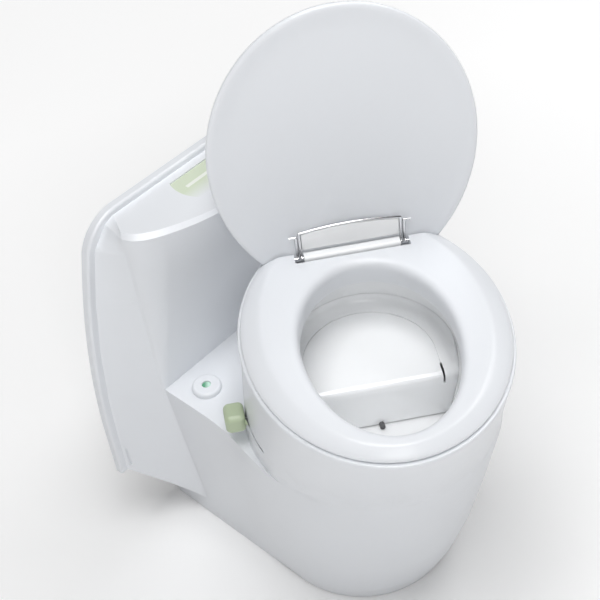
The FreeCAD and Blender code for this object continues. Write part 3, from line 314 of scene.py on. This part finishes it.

# Level gauge: a white disc on the shelf with a raised ring, and a clear green window in the middle
# that shows when the tank is full. The window is painted shade, dark green, on one side, paling
# to painted light, pale mint, on the other, as its sunk rim shades it.
LENS_SHADING_SCALE, LENS_SHADING_START, LENS_SHADING_RAMP = 20, 6.36, [(0.42, 0.0), (0.58, 1.0)]
wear(recast("gauge_housing"), shell_white)
lens_green, shade = moulded("lens_green", (0.1, 0.36, 0.2), rough=0.12, gloss=0.7, wave=0.0)
x, y, z = lens_green.along()
# painted shade on one side of the window, painted light on the other
lens_light_and_shade = lens_green.ramp((x - y) * LENS_SHADING_SCALE + LENS_SHADING_START, LENS_SHADING_RAMP)
lens_green.coat(Base_Color=lens_green.mix(lens_light_and_shade, shade, tone((0.62, 0.86, 0.74))))
wear(recast("gauge_lens"), lens_green)

# Flush valve and its hose, inside the console: a dark moulding and black rubber. Both seals and
# the pads under the seat are of the same rubber.
DARK = (0.075, 0.08, 0.085)
inner_dark, _ = moulded("inner_dark", DARK, rough=0.45, gloss=0.0, cloud=0.1)
wear(recast("water_valve", (0.8,), steps=2), inner_dark)
soft_black, _ = moulded("soft_black", (0.025, 0.025, 0.026), rough=0.62, gloss=0.0, cloud=0.15)
for node in ("flush_hose", "valve_seal", "tank_inlet_seal", "seat_bumpers"):
    wear(recast(node, (0.3,), steps=2), soft_black)

# Bowl: skirt, rim and inner bowl are separate white mouldings, welded at the rim. The inner bowl
# is the glossiest of them, and its raised rear part has a soft front edge, with a slot at the
# right end. The inner bowl's white is lighter than the other mouldings': painted light.
SWIVEL = -39.0                             # degrees that the bowl is turned at rest
FOOT_TOP, FOOT_RADIUS = 0.2648, 0.157      # the skirt's foot is below and outside of these
FOOT_LOW, FOOT_GROWTH = 0.26402, 1.013
WINDOW_Z, WINDOW_HALF = 0.304, 0.0048
WINDOW_REACH, WINDOW_RIGHT = 0.009, -0.1   # where the window's edges are looked for
SKIRT_TOP = 300.0                          # millimetres, as the next ones
STEP_CENTRE, STEP_ROUND = Vector((0, -38, 342)), 7
RISER_Y, RISER_Z, RISER_HALF = -41, 282, 80
RISER_DROP = 0.0022                        # metres again
SLOT, SLOT_PLACE = (0.0024, 0.03, 0.02), (80.5, -40, 343)


def in_bowl(spot):
    """A place turned back to the bowl's own frame, with its length along Y."""
    return Matrix.Rotation(radians(-SWIVEL), 3, "Z") @ spot


def out_of_bowl(spot):
    """And a place in the bowl's own frame, in millimetres, as it stands at rest, in metres."""
    return Matrix.Rotation(radians(SWIVEL), 3, "Z") @ Vector(spot) / 1000


def fair_skirt(piece):
    """Brings the skirt's foot flush with the pedestal and narrows the window round the lever."""
    for vertex in bmesh.from_edit_mesh(piece.data).verts:
        spot = vertex.co
        if spot.z < FOOT_TOP and spot.xy.length > FOOT_RADIUS:
            spot.xy *= FOOT_GROWTH
            spot.z = FOOT_LOW
        elif abs(spot.z - WINDOW_Z) < WINDOW_REACH and spot.x < WINDOW_RIGHT:
            spot.z = WINDOW_Z + (WINDOW_HALF if spot.z > WINDOW_Z else -WINDOW_HALF)


def upper_edge(spot):
    return spot.z > SKIRT_TOP


def riser(piece):
    """Rounds the plateau's straight front edge and brings the riser's foot down to the gate."""
    for degrees in (18, 36, 54, 72):
        out = Vector((0, -cos(radians(degrees)), sin(radians(degrees))))
        bpy.ops.mesh.select_all(action="SELECT")
        bpy.ops.mesh.bisect(plane_co=out_of_bowl(STEP_CENTRE + out * STEP_ROUND), clear_outer=True,
                            plane_no=out_of_bowl(out).normalized(), use_fill=True)
    for vertex in bmesh.from_edit_mesh(piece.data).verts:
        spot = in_bowl(vertex.co * 1000)
        if spot.y < RISER_Y and spot.z < RISER_Z and abs(spot.x) < RISER_HALF:
            vertex.co.z -= RISER_DROP


wear(recast("bowl_skirt", (0.4, upper_edge), steps=2, shape=fair_skirt), shell_white)
wear(recast("rim_ring", (1.8,)), shell_white)
# a lighter white than the shell's: painted light in the deep bowl
lit_bowl_white, _ = moulded("lit_bowl_white", (0.915, 0.925, 0.935), rough=0.2, gloss=0.2, wave=0.01)
wear(recast("bowl_liner"), lit_bowl_white)
plateau = recast("plateau_insert", sharp=32, shape=riser)
cut_out(plateau, SLOT, out_of_bowl(SLOT_PLACE), SWIVEL)
wear(plateau, lit_bowl_white)

# Gate stop: a small dark rubber peg with a rounded end, pushed into the foot of the riser, where
# it stands just proud of the wall.
STOP_RADIUS, STOP_LENGTH, STOP_PLACE = 0.0034, 0.0084, (2.6, -49.2, 282.4)


def soften(piece, edge, sharp=40):
    """Rounds what is still sharp and smooths the rest."""
    rounding = piece.modifiers.new("rounding", "BEVEL")
    rounding.width, rounding.segments = edge / 1000, 3
    rounding.limit_method, rounding.angle_limit = "ANGLE", radians(sharp)
    bpy.ops.object.modifier_apply(modifier=rounding.name)
    bpy.ops.object.shade_smooth_by_angle(angle=radians(sharp))


bpy.ops.mesh.primitive_cylinder_add(vertices=32, radius=STOP_RADIUS, depth=STOP_LENGTH,
                                    rotation=(radians(90), 0, radians(SWIVEL)),
                                    location=out_of_bowl(STOP_PLACE))
stop = bpy.context.object
stop.name = "gate_stop"
bpy.ops.object.transform_apply(location=True, rotation=True, scale=True)
soften(stop, 1.4)
stop_grey, _ = moulded("stop_grey", (0.1, 0.1, 0.105), rough=0.6, gloss=0.0, cloud=0.12)
wear(stop, stop_grey)
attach(stop, "bowl")

# Valve knob and lever: soft green plastic, rounded all over and polished by fingers. The lever is
# dark inside the bowl, behind the skirt's wall.
WALL_WAY, WALL_PLACE = (0.94, -0.34), -0.157
knob_green, _ = moulded("knob_green", (0.46, 0.54, 0.37), gloss=0.15, cloud=0.06)
wear(recast("valve_knob"), knob_green)
lever_green, shade = moulded("lever_green", (0.42, 0.5, 0.34), gloss=0.1, cloud=0.06)
x, y, z = lever_green.along()
inside = x * WALL_WAY[0] + y * WALL_WAY[1] > WALL_PLACE
lever_green.coat(Base_Color=lever_green.mix(inside, shade, tone(DARK)))
wear(recast("valve_lever", (0.8,), steps=2), lever_green)

# Screws, pivot, axles and hinge wire: bright drawn steel with fine marks. The wire is held by a
# white moulded block at the back of the bowl.
STEEL_DULL, STEEL_BRIGHT = (0.62, 0.62, 0.63), (0.84, 0.84, 0.85)
steel = Finish(bpy.data.materials.new("bright_steel"))
marks = steel.noise(260.0, 8.0)
steel.coat(Base_Color=steel.mix(marks, tone(STEEL_DULL), tone(STEEL_BRIGHT)), Metallic=1.0,
           Roughness=marks * 0.1 + 0.14)
for node in ("bearing_screws", "valve_pivot", "wheel_axles", "lid_hinge_wire"):
    wear(recast(node), steel)
# the block wears the inner bowl's lighter white: painted light
wear(recast("hinge_block", (1.2,)), lit_bowl_white)

# Seat: a thick oval ring moulded in white, with a crowned top, sloping sides and a rolled edge
# round its hole. A lip hangs round the hole and runs out to the front, and a notch at the back
# clears the hinge block.
RING = 96                                  # corners of each oval
SEAT, SEAT_DRAW, SEAT_MIDDLE = (149, 190, 192), (23, 12, 12), -45    # half width, rear, front
HOLE, HOLE_MIDDLE = (86, 120, 138), -70
SEAT_LOW, LIP_LOW = 446.5, 428.5
LIP_REAR, LIP_RUN = 0.05, 0.258
SEAT_REAR = 0.083
NOTCH, NOTCH_PLACE = (0.138, 0.1, 0.04), (0, 0.117, 0.453)
ORIGIN = (0, 0, 0)


def blank(name):
    """A new, empty piece at the origin, opened in edit mode."""
    piece = bpy.data.objects.new(name, bpy.data.meshes.new(name))
    bpy.context.scene.collection.objects.link(piece)
    edit(piece)
    return piece


def oval(piece, wide, rear, front, middle, height):
    """Adds an oval ring of two half ellipses, sizes in millimetres."""
    centre = (0, middle / 1000, height / 1000)
    bpy.ops.mesh.primitive_circle_add(vertices=RING, radius=wide / 1000, location=centre)
    bpy.ops.transform.resize(value=(1, rear / wide, 1), center_override=centre)
    mesh = bmesh.from_edit_mesh(piece.data)
    for vertex in mesh.verts:
        if vertex.co.y > centre[1] - 1e-6:
            vertex.select_set(False)
    mesh.select_flush(False)
    bpy.ops.transform.resize(value=(1, front / rear, 1), center_override=centre)


def pick(piece, *rings):
    """Selects rings, named by their order, and nothing else."""
    bpy.ops.mesh.select_all(action="DESELECT")
    mesh = bmesh.from_edit_mesh(piece.data)
    mesh.verts.ensure_lookup_table()
    for ring in rings:
        for vertex in mesh.verts[ring * RING:(ring + 1) * RING]:
            vertex.select_set(True)
    mesh.select_flush(True)


def bridge(piece, first, second):
    pick(piece, first, second)
    bpy.ops.mesh.bridge_edge_loops()


def cap(piece, ring):
    pick(piece, ring)
    bpy.ops.mesh.edge_face_add()


def close_up():
    """Turns all faces of the open piece outwards."""
    bpy.ops.mesh.select_all(action="SELECT")
    bpy.ops.mesh.normals_make_consistent(inside=False)


def trim_rear(rear):
    """Cuts the open piece off behind a plane, closes the cut and leaves edit mode."""
    bpy.ops.mesh.select_all(action="SELECT")
    bpy.ops.mesh.bisect(plane_co=(0, rear, 0), plane_no=(0, 1, 0), clear_outer=True, use_fill=True)
    bpy.ops.object.mode_set(mode="OBJECT")


def turn(axis, degrees, centre):
    """Turns the active mesh by the right-hand rule about an axis through a point in millimetres."""
    bpy.ops.object.mode_set(mode="EDIT")
    bpy.ops.mesh.select_all(action="SELECT")
    bpy.ops.transform.rotate(value=radians(-degrees), orient_axis=axis,
                             center_override=tuple(c / 1000 for c in centre))
    bpy.ops.object.mode_set(mode="OBJECT")


seat = blank("seat_moulded")
outer = [(0.0, SEAT_LOW), (0.0, 448.0), (0.02, 449.2), (0.07, 450.4), (0.3, 453.2), (0.56, 456.0),
         (0.8, 458.2), (0.92, 459.2), (1.03, 459.7), (1.15, 459.9)]
for share, height in outer:
    oval(seat, *(size - draw * share for size, draw in zip(SEAT, SEAT_DRAW)), SEAT_MIDDLE, height)
inner = [(12.0, 460.0), (8.6, 459.6), (5.6, 458.4), (3.0, 456.4), (1.2, 453.8), (0.3, 450.6),
         (0.0, 447.5), (0.0, LIP_LOW), (4.0, LIP_LOW), (4.0, SEAT_LOW + 0.1)]
for grow, height in inner:
    oval(seat, *(size + grow for size in HOLE), HOLE_MIDDLE, height)
for vertex in bmesh.from_edit_mesh(seat.data).verts:
    if vertex.co.z < (LIP_LOW + 1) / 1000:
        run_out = (LIP_REAR - vertex.co.y) / LIP_RUN
        vertex.co.z = min(LIP_LOW + (SEAT_LOW - LIP_LOW) * run_out, SEAT_LOW - 0.2) / 1000
rings = len(outer) + len(inner)
for k in range(rings):
    bridge(seat, k, (k + 1) % rings)
close_up()
trim_rear(SEAT_REAR)
cut_out(seat, NOTCH, NOTCH_PLACE)
soften(seat, 1.0)
turn("Z", SWIVEL, ORIGIN)
wear(seat, shell_white)
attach(seat, "seat")
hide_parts("seat_ring")

# Lid: a shallow white dish, crowned outside. It is modelled closed and then opened, and the flat
# pad at its foot carries the hinge wire.
LID, LID_MIDDLE = (153, 195, 186), -54     # half width, rear, front
PAD_HALF, PAD_FRONT, PAD_TOP, PAD_FACE = 0.075, 0.04, 0.4665, 0.4635
LID_REAR = 0.089
LID_OPEN, LID_PIN = -91.0, (0, 78, 457)


def open_lid():
    """Opens the active piece, modelled on the closed lid, and turns it with the bowl."""
    turn("X", LID_OPEN, LID_PIN)
    turn("Z", SWIVEL, ORIGIN)


lid = blank("lid_moulded")
inside = [(120.0, 466.3), (70.0, 466.1), (32.0, 465.9), (22.0, 465.5), (14.0, 464.6), (8.0, 463.8),
          (4.5, 463.5)]
outside = [(1.6, 463.9), (0.2, 465.2), (0.0, 467.5), (0.9, 470.4), (4.0, 473.0), (10.0, 474.4),
           (20.0, 475.0), (60.0, 475.3), (120.0, 475.5)]
for draw, height in inside + outside:
    oval(lid, *(size - draw for size in LID), LID_MIDDLE, height)
rings = len(inside) + len(outside)
for k in range(rings - 1):
    bridge(lid, k, k + 1)
for k in (0, rings - 1):
    cap(lid, k)
close_up()
bpy.ops.mesh.select_all(action="DESELECT")
mesh = bmesh.from_edit_mesh(lid.data)
for vertex in mesh.verts:
    spot = vertex.co
    vertex.select_set(abs(spot.x) < PAD_HALF and spot.y > PAD_FRONT and spot.z < PAD_TOP)
mesh.select_flush(True)
bpy.ops.transform.resize(value=(1, 1, 0), center_override=(0, 0, PAD_FACE))
trim_rear(LID_REAR)
soften(lid, 1.5)
open_lid()
wear(lid, shell_white)
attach(lid, "lid")
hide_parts("lid_shell")

# Hinge plate: a thin white cover clipped to the lid's pad inside the loop of the hinge wire. It is
# modelled closed like the lid, its front edge following the bowed bar. Its white is lighter than
# the lid's: painted light.
PLATE, PLATE_PLACE = (0.1164, 0.0226, 0.0029), (0, 0.0582, 0.46205)
PLATE_FRONT, PLATE_BOW = 0.05, 0.005
plate = blank("hinge_plate")
bpy.ops.mesh.primitive_cube_add(size=1, location=PLATE_PLACE, scale=PLATE)
bpy.ops.mesh.select_all(action="DESELECT")
mesh = bmesh.from_edit_mesh(plate.data)
for line in mesh.edges:
    line.select_set(abs(line.verts[0].co.x - line.verts[1].co.x) > PLATE[0] / 2)
bpy.ops.mesh.subdivide(number_cuts=15)
for vertex in bmesh.from_edit_mesh(plate.data).verts:
    if vertex.co.y < PLATE_FRONT:
        vertex.co.y -= PLATE_BOW * (1 - (vertex.co.x / (PLATE[0] / 2)) ** 2)
bpy.ops.object.mode_set(mode="OBJECT")
soften(plate, 1.0)
open_lid()
# a lighter white than the lid's: painted light
lit_plate_white, _ = moulded("lit_plate_white", (0.97, 0.975, 0.98), rough=0.2, wave=0.01, cloud=0.01)
wear(plate, lit_plate_white)
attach(plate, "lid")

# Waste tank: blow-moulded in light grey, so all its edges are soft. Handle, spout, cap and vent
# button are darker mouldings, and the wheels are black.
tank_grey, _ = moulded("tank_grey", (0.62, 0.63, 0.65), rough=0.42, gloss=0.05, wave=0.3, cloud=0.05)
wear(recast("tank_body", (5.0,), steps=4), tank_grey)
for node in ("handle_brackets", "spout_collar", "vent_housing"):
    wear(recast(node, (1.0,), steps=2), tank_grey)
trim_grey, _ = moulded("trim_grey", (0.17, 0.18, 0.19), rough=0.38, gloss=0.1, cloud=0.08)
trim = {"tank_handle": 3.0, "spout_elbow": 1.2, "spout_cap": 0.6, "vent_button": 0.3}
for node, edge in trim.items():
    wear(recast(node, (edge,)), trim_grey)
wheel_black, _ = moulded("wheel_black", (0.03, 0.03, 0.031), rough=0.5, gloss=0.0, cloud=0.15)
for node in ("wheel_left", "wheel_right"):
    wear(recast(node), wheel_black)

# Stage: a pale seamless floor that glows with distance, and three soft boxes overhead. What is
# seen above the floor is pale too, but throws hardly any light. The camera looks down from chest
# height at the photograph's angle, rolled slightly.
FLOOR_SIZE, FLOOR_LOW = 60, -0.0005
PAPER_DULL, PAPER_PALE = (0.95, 0.95, 0.95), (0.97, 0.97, 0.97)
GLOW_SCALE, GLOW = 0.2, [(0.04, 0.05), (0.24, 0.4), (0.7, 0.85)]
HAZE, HAZE_LIGHT, BACKDROP = (0.94, 0.96, 1.0), 0.03, (0.95, 0.95, 0.95)
AIM = Vector((0, 0, 0.3))
bpy.ops.mesh.primitive_plane_add(size=FLOOR_SIZE, location=(0, 0, FLOOR_LOW))
floor = bpy.context.object
floor.name = "floor"
paper = Finish(bpy.data.materials.new("floor_paper"))
away = paper.node("ShaderNodeVectorMath", {"operation": "LENGTH"}, {0: paper.place()}, 1)
paper.coat(Base_Color=paper.mix(paper.noise(1.2, 2.0), tone(PAPER_DULL), tone(PAPER_PALE)),
           Roughness=0.9, Emission_Color=paper.ramp(away * GLOW_SCALE, GLOW), Emission_Strength=1.0)
floor.data.materials.append(paper.owner)

studio = Finish(bpy.data.worlds.new("studio"), "Background")
studio.coat(Color=tone(HAZE), Strength=HAZE_LIGHT)
haze = Flow(studio, studio.shader.outputs[0])
backdrop = studio.node("ShaderNodeBackground", {}, {"Color": tone(BACKDROP)})
direct = studio.node("ShaderNodeLightPath", out="Is Camera Ray")
view = studio.node("ShaderNodeMixShader", {}, {0: direct, 1: haze, 2: backdrop})
studio.fill(studio.tree.nodes["World Output"], {"Surface": view})
bpy.context.scene.world = studio.owner


def lamp(name, power, size, place):
    """A square soft box turned towards the middle of the part, in metres."""
    bpy.ops.object.light_add(type="AREA", location=place)
    light = bpy.context.object
    light.name = name
    light.data.energy, light.data.size = power, size
    light.rotation_euler = (AIM - Vector(place)).to_track_quat("-Z", "Y").to_euler()


lamp("top_light", 48.0, 1.5, (-0.45, -0.2, 3.0))
lamp("window_light", 23.0, 1.2, (-1.6, -1.7, 2.2))
lamp("side_light", 17.0, 1.2, (1.6, -0.2, 2.4))

SENSOR, LENS = 36.0, 71.1
SIGHT, DISTANCE = Vector((0.0637, 0.1742, 0.2973)), 1.5756
azimuth, elevation, roll = radians(-43.7), radians(43.6), radians(-6.7)
back = Vector((sin(azimuth) * cos(elevation), -cos(azimuth) * cos(elevation), sin(elevation)))
level = Vector((cos(azimuth), sin(azimuth), 0))
upright = back.cross(level)
right = level * cos(roll) + upright * sin(roll)
up = upright * cos(roll) - level * sin(roll)
station = SIGHT + back * DISTANCE
bpy.ops.object.camera_add()
camera = bpy.context.object
camera.data.sensor_width, camera.data.lens = SENSOR, LENS
camera.matrix_world = Matrix((
    (right.x, up.x, back.x, station.x),
    (right.y, up.y, back.y, station.y),
    (right.z, up.z, back.z, station.z),
    (0, 0, 0, 1)))
bpy.context.scene.camera = camera
bpy.context.scene.view_settings.view_transform = "Standard"
